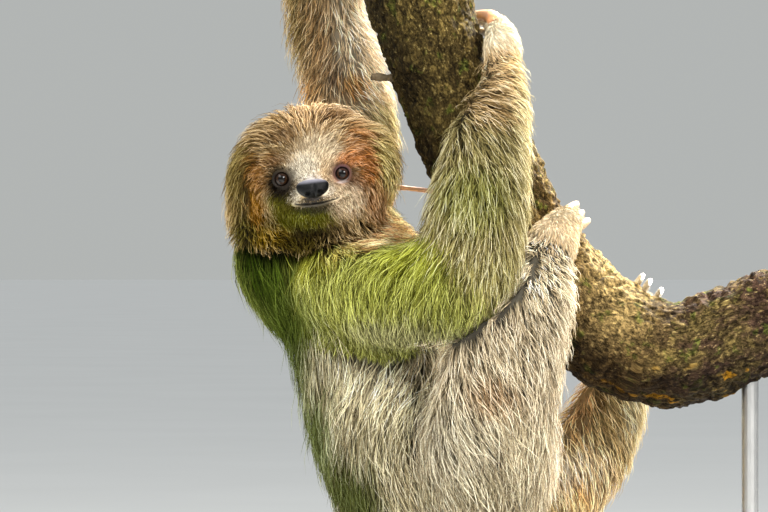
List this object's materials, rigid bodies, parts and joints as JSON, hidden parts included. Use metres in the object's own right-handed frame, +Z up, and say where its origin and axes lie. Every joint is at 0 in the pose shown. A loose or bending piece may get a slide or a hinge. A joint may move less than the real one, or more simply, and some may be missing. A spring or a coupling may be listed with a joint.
{
  "type": "three-toed sloth on a branch",
  "caption": "Still life-size model of a brown-throated three-toed sloth, clinging to a short cut branch with its head turned to look out, on a plain display stand.",
  "frame": {"origin": "centre of the display stand's base, on its underside", "axes": "+Z up; -Y is the side the face looks to; +X is toward the cut right end of the branch, across the animal's belly side"},
  "size_m": [0.4064, 0.25, 0.6531],
  "materials": {
    "coat": "long coarse hair, silvery fawn over a darker underlayer",
    "coat_green": "long coarse hair tinted yellow-green by algae",
    "coat_head": "soft brown and fawn hair with a pale face",
    "coat_pale": "short cream hair",
    "claw": "ivory horn, satin",
    "eye": "wet dark brown",
    "nose": "bare dark skin, slightly moist",
    "bark": "rough bark with lichen and moss",
    "stand_wood": "dark satin lacquer",
    "stand_steel": "brushed"
  },
  "bodies": {
    "root": {"head": "coat_head", "neck": "coat_green", "trunk": "coat", "tail": "coat", "right_upper_arm": "coat_green", "right_forearm": "coat", "right_hand": "coat_pale", "left_upper_arm": "coat", "left_forearm": "coat", "left_hand": "coat_pale", "right_thigh": "coat", "right_shank": "coat", "right_foot": "coat_pale", "left_thigh": "coat", "left_shank": "coat", "left_foot": "coat_pale", "right_hand_claw_1": "claw", "right_hand_claw_2": "claw", "right_hand_claw_3": "claw", "left_hand_claw_1": "claw", "left_hand_claw_2": "claw", "left_hand_claw_3": "claw", "right_foot_claw_1": "claw", "right_foot_claw_2": "claw", "right_foot_claw_3": "claw", "left_foot_claw_1": "claw", "left_foot_claw_2": "claw", "left_foot_claw_3": "claw", "right_eye": "eye", "left_eye": "eye", "nose": "nose", "branch": "bark", "branch_twig_1": "bark", "branch_twig_2": "bark", "stand_base": "stand_wood", "stand_rod_body": "stand_steel", "stand_rod_perch": "stand_steel"}
  },
  "joints": []
}
